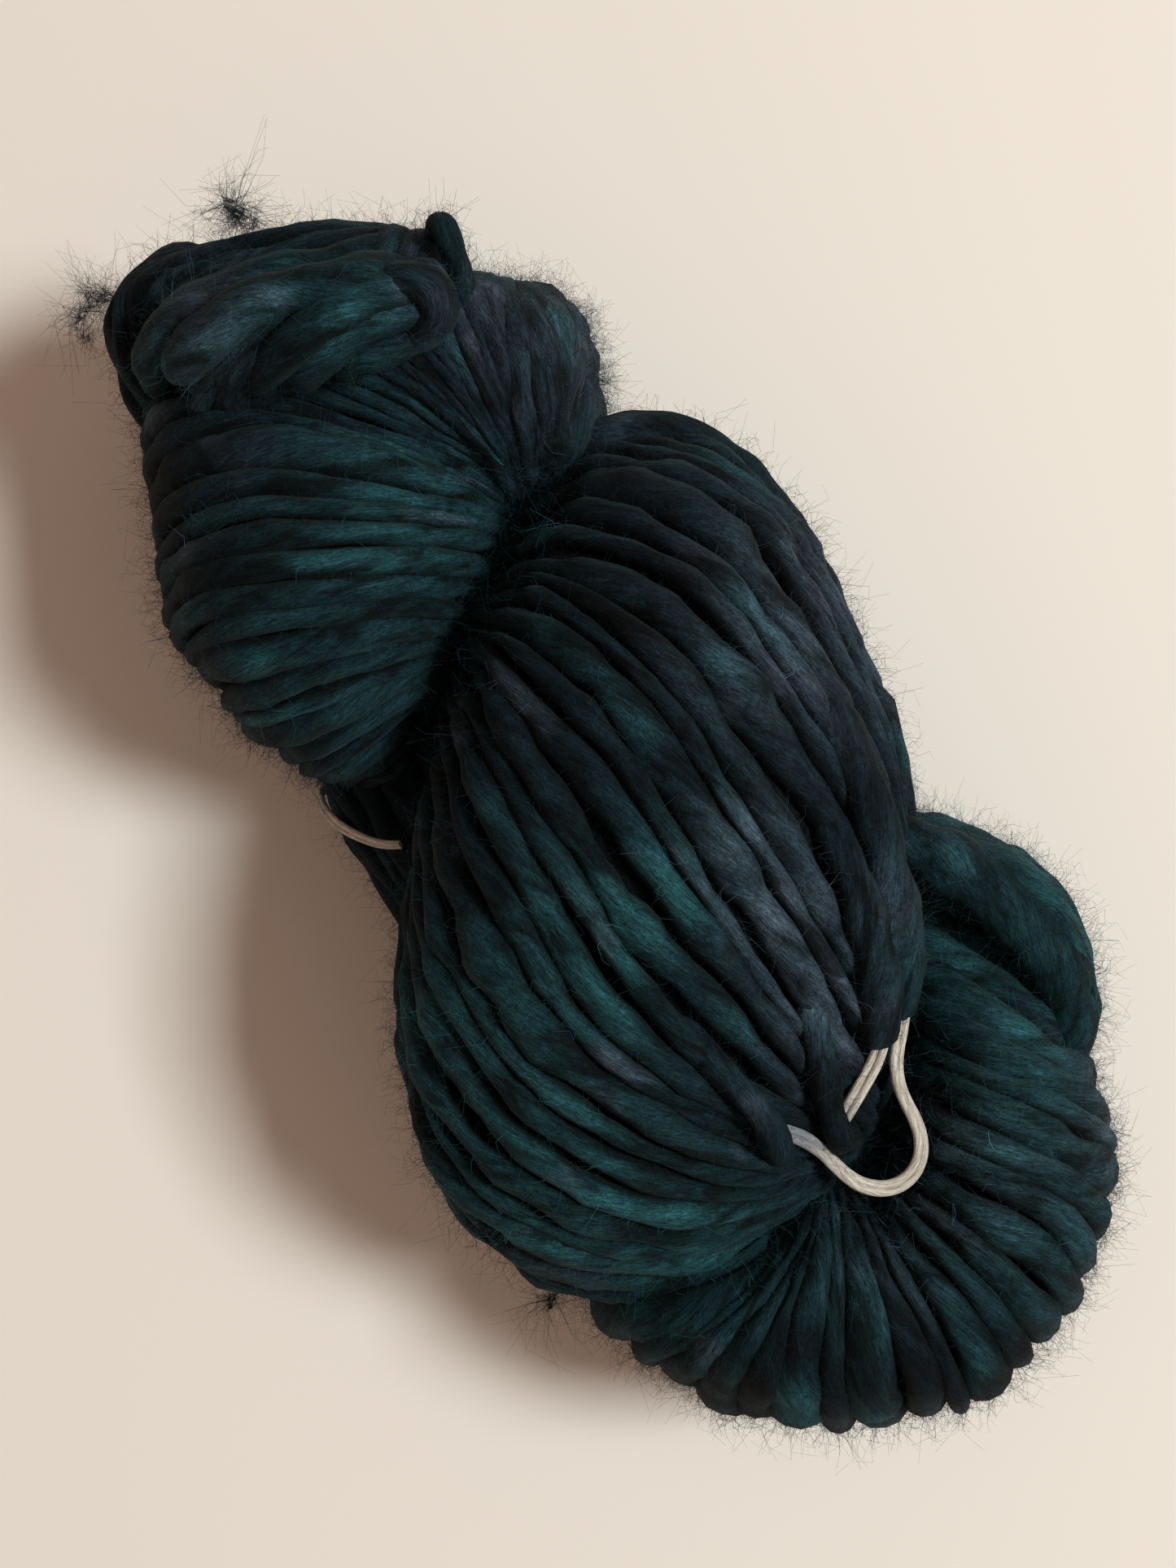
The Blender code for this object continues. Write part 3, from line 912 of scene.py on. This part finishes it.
def fuzz_tree():
    """Fine curled hairs that stand out of the wool."""
    tree, given = new_tree(
        "hairs out of the wool",
        {
            "Density": "NodeSocketFloat",
            "Outline Hairs": "NodeSocketFloat",
            "Shortest": "NodeSocketFloat",
            "Longest": "NodeSocketFloat",
            "Spread": "NodeSocketFloat",
            "Curl": "NodeSocketFloat",
            "Thickness": "NodeSocketFloat",
            "Seed": "NodeSocketInt",
            "Finish": "NodeSocketMaterial",
        },
    )
    normal = add(tree, "ShaderNodeSeparateXYZ", {0: add(tree, "GeometryNodeInputNormal").outputs[0]})
    upright = normal.outputs[2]
    outer = maths(tree, "GREATER_THAN", named(tree, "outer"), HAIR_LEAST_OUTER)
    not_below = maths(tree, "GREATER_THAN", upright, HAIR_LEAST_UP)
    seen = maths(tree, "MULTIPLY", outer, not_below)
    sideways = maths(tree, "LESS_THAN", upright, OUTLINE_MOST_UP)
    more = multiply_add(tree, sideways, given["Outline Hairs"], 1.0)
    density = maths(tree, "MULTIPLY", given["Density"], more)
    roots = add(
        tree,
        "GeometryNodeDistributePointsOnFaces",
        {"Mesh": given["Geometry"], "Selection": seen, "Density": density, "Seed": given["Seed"]},
    )
    straight = add(tree, "GeometryNodeCurvePrimitiveLine", {"Start": (0, 0, 0), "End": (0, 0, 1)})
    hair = add(tree, "GeometryNodeResampleCurve", {"Curve": straight.outputs[0], "Count": HAIR_POINTS})
    parameter = add(tree, "GeometryNodeSplineParameter")
    hair = stored(tree, hair.outputs[0], "out", parameter.outputs["Factor"])
    scatter = add(
        tree,
        "FunctionNodeRandomValue",
        {0: (-1, -1, -1), 1: (1, 1, 1), "Seed": given["Seed"]},
        data_type="FLOAT_VECTOR",
    )
    leaning = scaled(tree, scatter.outputs[0], given["Spread"])
    aim = vector_maths(tree, "ADD", roots.outputs["Normal"], leaning)
    turned = add(tree, "FunctionNodeAlignRotationToVector", {"Vector": aim}, axis="Z")
    length_seed = maths(tree, "ADD", given["Seed"], LENGTH_SEED_STEP)
    chance = add(tree, "FunctionNodeRandomValue", {"Seed": length_seed})
    share = maths(tree, "POWER", chance.outputs[1], HAIR_LENGTH_POWER)
    extra = maths(tree, "SUBTRACT", given["Longest"], given["Shortest"])
    length = multiply_add(tree, share, extra, given["Shortest"])
    hairs = add(
        tree,
        "GeometryNodeInstanceOnPoints",
        {
            "Points": roots.outputs["Points"],
            "Instance": hair,
            "Rotation": turned.outputs[0],
            "Scale": length,
        },
    )
    whole = add(tree, "GeometryNodeRealizeInstances", {"Geometry": hairs.outputs[0]})
    place = add(tree, "GeometryNodeInputPosition").outputs[0]
    waves = noise(tree, place, HAIR_CURL_SCALE, 1.0, "Color")
    swing = vector_maths(tree, "SUBTRACT", waves, (0.5, 0.5, 0.5))
    reach = maths(tree, "MULTIPLY", named(tree, "out"), given["Curl"])
    curl = {"Geometry": whole.outputs[0], "Offset": scaled(tree, swing, reach)}
    curled = add(tree, "GeometryNodeSetPosition", curl)
    kept_up = {"Geometry": curled.outputs[0], "Position": over_floor(tree, place, HAIR_CLEARANCE)}
    curled = add(tree, "GeometryNodeSetPosition", kept_up)
    taper = multiply_add(tree, named(tree, "out"), HAIR_TAPER, 1.0)
    radius = maths(tree, "MULTIPLY", taper, given["Thickness"])
    circle = add(tree, "GeometryNodeCurvePrimitiveCircle", {"Resolution": HAIR_SIDES, "Radius": 0.5})
    tubes = add(
        tree,
        "GeometryNodeCurveToMesh",
        {
            "Curve": curled.outputs[0],
            "Profile Curve": circle.outputs["Curve"],
            "Scale": radius,
            "Fill Caps": True,
        },
    )
    finish_tree(tree, tubes.outputs[0], given["Finish"])
    return tree


# ---- Finishes ----


def colour_of(red, green, blue):
    """A screen colour of 0 to 255 as the linear colour that a shader takes."""
    screen = np.array((red, green, blue)) / 255
    linear = np.where(screen < 0.04045, screen / 12.92, ((screen + 0.055) / 1.055) ** 2.4)
    return (*linear.tolist(), 1.0)


BASE_TEAL = colour_of(13, 30, 37)
NEAR_BLACK = colour_of(4, 11, 17)
BRIGHT_TEAL = colour_of(34, 81, 86)
SLATE = colour_of(60, 78, 90)
LAVENDER = colour_of(72, 84, 99)
COTTON = colour_of(212, 211, 200)
COTTON_SHADE = colour_of(150, 146, 132)
# the blue-grey of painted shade on the cotton ties
COTTON_PAINTED_SHADE = colour_of(88, 104, 120)
SHEEN_TINT = colour_of(120, 150, 150)
# the wool between the turns is painted near-black, painted shade darker than the yarn's own dye
CORE_DARK = colour_of(4, 7, 9)
CORE_LIGHT = colour_of(14, 24, 28)
FLOOR = colour_of(231, 231, 223)

# The dye's noise for each millimetre, twice across the yarn and once along it.
DYE_SCALE = (0.02, 0.02, 0.021)
SLATE_SCALE = 1.7
SLATE_DISTORTION = 0.4
LAVENDER_RANGE = (0.45, 0.6)

# Where in the dye's noise a tone starts and is full, and how much of the colour it takes at most.
Tone = namedtuple("Tone", "start full most")

DARK_TONE = Tone(0.52, 0.36, 0.8)
BRIGHT_TONE = Tone(0.54, 0.74, 0.75)
SLATE_TONE = Tone(0.6, 0.8, 0.7)

# A grain of the fibres: how fine it is across the yarn and along it, where in its noise it is darkest and
# lightest, how light it is at its darkest, and how much lighter it gets.
Grain = namedtuple("Grain", "across along detail dark light least gain")

STREAKS = Grain(1.8, 0.22, 4.0, 0.3, 0.7, 0.4, 1.1)
FINE_FIBRES = Grain(4.2, 0.9, 3.0, 0.35, 0.7, 0.45, 1.3)
MOTTLE = Grain(0.19, 0.065, 2.0, 0.33, 0.67, 0.22, 1.55)
COTTON_STRANDS = Grain(3.0, 0.35, 3.0, 0.35, 0.65, 0.0, 1.0)

# The painted shade between the turns: how far out on a turn it starts and ends, and its tones as a grain's.
SHADE_RANGE = (0.2, 0.92)
SHADE_LEAST = 0.12
SHADE_GAIN = 0.95

WOOL_LIGHTNESS = 0.92
# the hairs are painted lighter than the wool, painted light for the light that comes through them
HAIR_LIGHTNESS = 1.9  # light comes through the hairs
STREAK_HEIGHT = 0.7  # in the wool's bump, beside the fine fibres
FELT_SCALE = 900.0
FELT_RANGE = (0.4, 0.7)


def mix_colour(tree, amount, first, second):
    node = tree.nodes.new("ShaderNodeMix")
    node.data_type = "RGBA"
    for index, value in ((0, amount), (6, first), (7, second)):
        if isinstance(value, bpy.types.NodeSocket):
            tree.links.new(value, node.inputs[index])
        else:
            node.inputs[index].default_value = value
    return node.outputs[2]


def ranged(tree, value, low, high):
    """A value stretched so that low becomes 0 and high becomes 1, and no further."""
    return add(tree, "ShaderNodeMapRange", {"Value": value, "From Min": low, "From Max": high}).outputs[0]


def attribute(tree, name, output="Fac"):
    return add(tree, "ShaderNodeAttribute", attribute_name=name).outputs[output]


def new_material(name):
    material = bpy.data.materials.new(name)
    material.use_nodes = True
    return material, material.node_tree, material.node_tree.nodes["Principled BSDF"]


def set_inputs(shader, values):
    for name, value in values.items():
        shader.inputs[name].default_value = value


def set_surface(tree, shader, colour, height, strength, distance):
    """A shader's colour and bump."""
    tree.links.new(colour, shader.inputs["Base Color"])
    bump = add(tree, "ShaderNodeBump", {"Strength": strength, "Distance": distance, "Height": height})
    tree.links.new(bump.outputs[0], shader.inputs["Normal"])


def tone_amount(tree, dye, tone, patches):
    """How much of a tone shows, by the dye's noise and by the tone's own patches."""
    amount = maths(tree, "ADD", ranged(tree, dye, tone.start, tone.full), attribute(tree, patches))
    return add(tree, "ShaderNodeClamp", {"Value": maths(tree, "MULTIPLY", amount, tone.most)}).outputs[0]


def wool_colour(tree, lie):
    """Dye in soft bands along the yarn, with the hank's own patches."""
    place = vector_maths(tree, "MULTIPLY", lie, DYE_SCALE)
    bands = noise(tree, place, 1.0, 3.0)
    slate_bands = noise(tree, place, SLATE_SCALE, 2.0, Distortion=SLATE_DISTORTION)
    dark = tone_amount(tree, bands, DARK_TONE, "dark")
    bright = tone_amount(tree, bands, BRIGHT_TONE, "bright")
    slate = tone_amount(tree, slate_bands, SLATE_TONE, "slate")
    colour = mix_colour(tree, dark, BASE_TEAL, NEAR_BLACK)
    colour = mix_colour(tree, bright, colour, BRIGHT_TEAL)
    grey = mix_colour(tree, ranged(tree, slate_bands, *LAVENDER_RANGE), SLATE, LAVENDER)
    return mix_colour(tree, slate, colour, grey)


def fibres(tree, lie, grain):
    place = vector_maths(tree, "MULTIPLY", lie, (grain.across, grain.across, grain.along))
    return noise(tree, place, 1.0, grain.detail, Roughness=0.6, Distortion=0.6)


def grain_tone(tree, value, grain):
    return multiply_add(tree, ranged(tree, value, grain.dark, grain.light), grain.gain, grain.least)


def make_wool(name, lightness):
    material, tree, shader = new_material(name)
    lie = attribute(tree, "lie", "Vector")
    streaks = fibres(tree, lie, STREAKS)
    fine = fibres(tree, lie, FINE_FIBRES)
    mottle = fibres(tree, lie, MOTTLE)
    # painted shade: each turn gets darker towards its underside, where it meets the next turn
    outward = ranged(tree, attribute(tree, "outer"), *SHADE_RANGE)
    tone = maths(tree, "MULTIPLY", grain_tone(tree, streaks, STREAKS), grain_tone(tree, fine, FINE_FIBRES))
    tone = maths(tree, "MULTIPLY", tone, lightness)
    tone = maths(tree, "MULTIPLY", tone, grain_tone(tree, mottle, MOTTLE))
    tone = maths(tree, "MULTIPLY", tone, multiply_add(tree, outward, SHADE_GAIN, SHADE_LEAST))
    toned = scaled(tree, wool_colour(tree, lie), tone)
    set_surface(tree, shader, toned, multiply_add(tree, streaks, STREAK_HEIGHT, fine), 0.55, 0.0006)
    set_inputs(shader, {"Roughness": 0.78, "Specular IOR Level": 0.09})
    set_inputs(shader, {"Sheen Weight": 0.1, "Sheen Roughness": 0.4, "Sheen Tint": SHEEN_TINT})
    return material


def make_core_wool():
    material, tree, shader = new_material("wool_in_the_shade")
    felt = noise(tree, add(tree, "ShaderNodeTexCoord").outputs["Object"], FELT_SCALE, 4.0)
    colour = mix_colour(tree, ranged(tree, felt, *FELT_RANGE), CORE_DARK, CORE_LIGHT)
    set_surface(tree, shader, colour, felt, 0.5, 0.001)
    set_inputs(shader, {"Roughness": 0.95, "Specular IOR Level": 0.1})
    return material


def make_cotton():
    material, tree, shader = new_material("cotton_string")
    strands = fibres(tree, attribute(tree, "lie", "Vector"), COTTON_STRANDS)
    colour = mix_colour(tree, grain_tone(tree, strands, COTTON_STRANDS), COTTON_SHADE, COTTON)
    # painted shade: the ties turn blue-grey where they lie in shadow
    colour = mix_colour(tree, attribute(tree, "tie_painted_shade"), colour, COTTON_PAINTED_SHADE)
    set_surface(tree, shader, colour, strands, 0.6, 0.0004)
    set_inputs(shader, {"Roughness": 0.85, "Sheen Weight": 0.2})
    return material


def make_floor_finish():
    material, _, shader = new_material("plain_pale_floor")
    set_inputs(shader, {"Base Color": FLOOR, "Roughness": 0.9, "Specular IOR Level": 0.1})
    return material


# ---- The pieces ----


def sweep(tree, name, turns, finish, seed, slub, lump=LUMP_AMOUNT, least_outer=-1.0):
    """The turns' yarn as one piece, its faces outwards."""
    piece = run_tree(
        tree,
        turns_mesh(name, turns),
        name,
        {
            "Sides": YARN_SIDES,
            "Slub Amount": slub,
            "Slub Length": SLUB_LENGTH,
            "Lump Amount": lump,
            "Lump Length": LUMP_LENGTH,
            "Least Outer": least_outer,
            "Seed": float(seed),
            "Finish": finish,
        },
    )
    face_outwards(piece.data)
    return piece


def make_fuzz(tree, name, mesh, density, finish, seed, longest=HAIR_LENGTHS[1], curl=HAIR_CURL):
    """The hairs that grow out of a mesh, as one piece."""
    return run_tree(
        tree,
        mesh,
        name,
        {
            "Density": density,
            "Outline Hairs": OUTLINE_HAIRS,
            "Shortest": HAIR_LENGTHS[0],
            "Longest": longest,
            "Spread": HAIR_SPREAD,
            "Curl": curl,
            "Thickness": HAIR_THICKNESS,
            "Seed": seed,
            "Finish": finish,
        },
    )


def make_tufts(tree, finish):
    """Small wads of loose fibre, all hairs."""
    pieces = []
    for seed, tuft in enumerate(TUFTS):
        radius = tuft.radius * MM
        shell = bmesh.new()
        bmesh.ops.create_icosphere(shell, subdivisions=2, radius=radius)
        bmesh.ops.translate(shell, verts=shell.verts, vec=placed(tuft.place))
        mesh = bpy.data.meshes.new("wad")
        shell.to_mesh(mesh)
        shell.free()
        store(mesh, "outer", "FLOAT", np.ones(len(mesh.vertices)))
        density = tuft.hairs / (4 * pi * radius**2)
        name = f"tuft_{seed}"
        pieces.append(make_fuzz(tree, name, mesh, density, finish, seed, TUFT_LONGEST, TUFT_CURL))
    return pieces


def core_rings(surface, rows, depth):
    """A lobe's own shape, smaller all round by a depth."""
    rings = []
    angles = np.arange(CORE_SIDES) * 2 * pi / CORE_SIDES
    for place in np.linspace(0, rows - 1, CORE_RINGS):
        ring = surface(np.full(CORE_SIDES, place), angles)
        middle = ring.mean(axis=0)
        out = ring - middle
        reach = np.linalg.norm(out, axis=1)[:, None]
        ring = middle + out * np.maximum(1 - depth / reach, CORE_LEAST_SHARE)
        ring[:, 2] = np.maximum(ring[:, 2], CORE_CLEARANCE)
        rings.append(ring)
    return rings


def add_shell(shell, rings):
    """A closed shell through rings of points."""
    lines = [[shell.verts.new(place) for place in placed(ring)] for ring in rings]
    for near, far in zip(lines, lines[1:]):
        for i in range(CORE_SIDES):
            j = (i + 1) % CORE_SIDES
            shell.faces.new((near[i], near[j], far[j], far[i]))
    shell.faces.new(lines[0][::-1])
    shell.faces.new(lines[-1])


def make_core(finish):
    """The wool that shows between the turns, coloured near-black as painted shade."""
    shell = bmesh.new()
    for surface_of, rows, depth in (
        (wrap_surface, UPPER_WRAPS, CORE_DEPTH),
        (wrap_surface, LOWER_WRAPS, CORE_DEPTH),
        (span_surface, BIG_LOBE_SPANS, CORE_DEPTH),
        (station_surface, UNDER_PLY, CORE_DEPTH),
        (station_surface, HEART, CORE_DEPTH),
        (station_surface, FAR_ARCH, BUNDLE_CORE_DEPTH),
        (station_surface, COLLAR, BUNDLE_CORE_DEPTH),
        (station_surface, TUCKED_END, BUNDLE_CORE_DEPTH),
    ):
        add_shell(shell, core_rings(surface_of(rows), len(rows), depth))
    bmesh.ops.recalc_face_normals(shell, faces=shell.faces)
    mesh = bpy.data.meshes.new("core")
    shell.to_mesh(mesh)
    shell.free()
    mesh.shade_smooth()
    mesh.materials.append(finish)
    return add_object("core", mesh)


def smooth_route(route, spacing):
    """Points at equal steps along the smooth curve through a route."""
    rows = np.array(route, float)
    curve = row_values(rows, np.linspace(0, len(rows) - 1, CURVE_STEPS * len(rows)))
    along = np.concatenate([[0.0], np.cumsum(np.linalg.norm(np.diff(curve, axis=0), axis=1))])
    wanted = np.linspace(0, along[-1], round(along[-1] / spacing) + 1)
    return np.column_stack([np.interp(wanted, along, curve[:, axis]) for axis in range(3)]), wanted


def carried_sides(heading):
    """A direction square to a route's heading, carried along the route without turning about it."""
    side = np.cross(heading[0], NEARLY_UP)
    sides = []
    for way in heading:
        side = side - way * side.dot(way)
        side = side / np.linalg.norm(side)
        sides.append(side)
    return np.array(sides)


def rope_turn(rope, number):
    """A single stretch of yarn with rounded ends."""
    middle, along = smooth_route(rope.route, ROPE_STEP)
    heading = unit(np.gradient(middle, axis=0))
    side = carried_sides(heading)
    to_end = np.minimum(along, along[-1] - along)
    share = np.clip(ROPE_END_SHARE + to_end / ROPE_END_LENGTH, ROPE_END_SHARE, 1.0)
    width = rope.half_width * share
    return Turn(middle, side, np.cross(side, heading), width, width * ROPE_HEIGHT_SHARE, along, number)


def tie_turns(route, thickness):
    """A tie's two strands of cotton, and the points along the middle between them."""
    middle, along = smooth_route(route, TIE_STEP)
    heading = unit(np.gradient(middle, axis=0))
    level = carried_sides(heading)
    above = np.cross(level, heading)
    roll = TIE_ROLL * np.sin(along / TIE_ROLL_LENGTH)[:, None]
    side = level * np.cos(roll) + above * np.sin(roll)
    up = np.cross(side, heading)
    strand = thickness * TIE_STRAND_SHARE
    high = np.full(len(along), strand)
    wide = high * TIE_STRAND_WIDTH
    strands = [
        Turn(middle + side * (sign * strand * TIE_STRAND_APART), side, up, wide, high, along, number)
        for number, sign in enumerate((-1, 1))
    ]
    return strands, middle


def make_tie(tree, node, route, thickness, finish):
    """A tie's cotton in place of its CAD node."""
    turns, middle = tie_turns(route, thickness)
    name = node + "_cotton"
    piece = sweep(tree, name, turns, finish, TIE_SEED, TIE_SLUB_AMOUNT, TIE_LUMP_AMOUNT, least_outer=1.0)
    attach(piece, "root")
    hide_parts(node)


def all_turns():
    """The turns of each lobe and bundle, and the single strands, by piece."""
    turns = {
        "upper_lump": fan_turns(UPPER_WRAPS, UPPER_LEANS, UPPER_FELT, samples=56, seed=11),
        "lower_lump": fan_turns(LOWER_WRAPS, LOWER_LEANS, LOWER_FELT, samples=64, seed=12),
        "big_lobe": big_lobe_turns(samples=66, seed=13),
    }
    for name, bundle in BUNDLES.items():
        turns[name] = bundle_turns(bundle)
    turns["ropes"] = [rope_turn(rope, number) for number, rope in enumerate(ROPES.values())]
    return turns


def make_yarn(tree, hairs, finish, hair_finish):
    """Each lobe's turns as one piece, and the halo that stands out of it."""
    pieces = []
    for seed, (name, turns) in enumerate(all_turns().items()):
        slub = SLUB_AMOUNTS.get(name, SLUB_AMOUNT)
        least_outer = ROPE_LEAST_OUTER if name == "ropes" else -1.0
        piece = sweep(tree, name, turns, finish, seed, slub, least_outer=least_outer)
        density = HAIR_DENSITY * HAIR_SHARES.get(name, 1.0)
        pieces.append(piece)
        pieces.append(make_fuzz(hairs, name + "_hairs", piece.data.copy(), density, hair_finish, seed))
    return pieces + make_tufts(hairs, hair_finish)


# ---- The stage ----


def make_floor(finish):
    shell = bmesh.new()
    bmesh.ops.create_grid(shell, x_segments=1, y_segments=1, size=FLOOR_HALF_SIZE)
    mesh = bpy.data.meshes.new("floor")
    shell.to_mesh(mesh)
    shell.free()
    mesh.materials.append(finish)
    floor = add_object("floor", mesh)


def make_window():
    lamp = bpy.data.lights.new("window", "AREA")
    lamp.shape = "SQUARE"
    lamp.size = WINDOW_SIZE
    lamp.energy = WINDOW_POWER
    lamp.color = WINDOW_COLOUR
    light = bpy.data.objects.new("window", lamp)
    light.location = WINDOW_PLACE
    light.rotation_euler = (-Vector(WINDOW_PLACE)).to_track_quat("-Z", "Y").to_euler()
    bpy.context.scene.collection.objects.link(light)


def make_studio():
    make_window()
    world = bpy.data.worlds.new("room")
    world.use_nodes = True
    background = world.node_tree.nodes["Background"]
    set_inputs(background, {"Color": FILL_COLOUR, "Strength": FILL_STRENGTH})
    bpy.context.scene.world = world
    bpy.context.scene.view_settings.view_transform = "Standard"


def make_camera():
    lens = bpy.data.cameras.new("camera")
    lens.lens = CAMERA_LENS
    lens.sensor_width = CAMERA_SENSOR
    camera = bpy.data.objects.new("camera", lens)
    camera.location = CAMERA_PLACE
    camera.rotation_euler = (0.0, 0.0, radians(CAMERA_TURN))
    bpy.context.scene.collection.objects.link(camera)
    bpy.context.scene.camera = camera


def main():
    make_camera()
    sweeping = sweep_tree()
    cotton = make_cotton()
    make_tie(sweeping, "tie_lower", LOWER_TIE_ROUTE, LOWER_TIE_THICKNESS, cotton)
    make_tie(sweeping, "tie_lower_under", LOWER_TIE_UNDER_ROUTE, LOWER_TIE_THICKNESS, cotton)
    make_tie(sweeping, "tie_upper", UPPER_TIE_ROUTE, UPPER_TIE_THICKNESS, cotton)
    wool = make_wool("wool", WOOL_LIGHTNESS)
    # the hairs' copy of the wool is painted lighter, as painted light
    hair_wool = make_wool("wool_hairs", HAIR_LIGHTNESS)
    pieces = make_yarn(sweeping, fuzz_tree(), wool, hair_wool)
    pieces.append(make_core(make_core_wool()))
    for piece in pieces:
        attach(piece, "root")
    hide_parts("hank")
    make_floor(make_floor_finish())
    make_studio()


main()
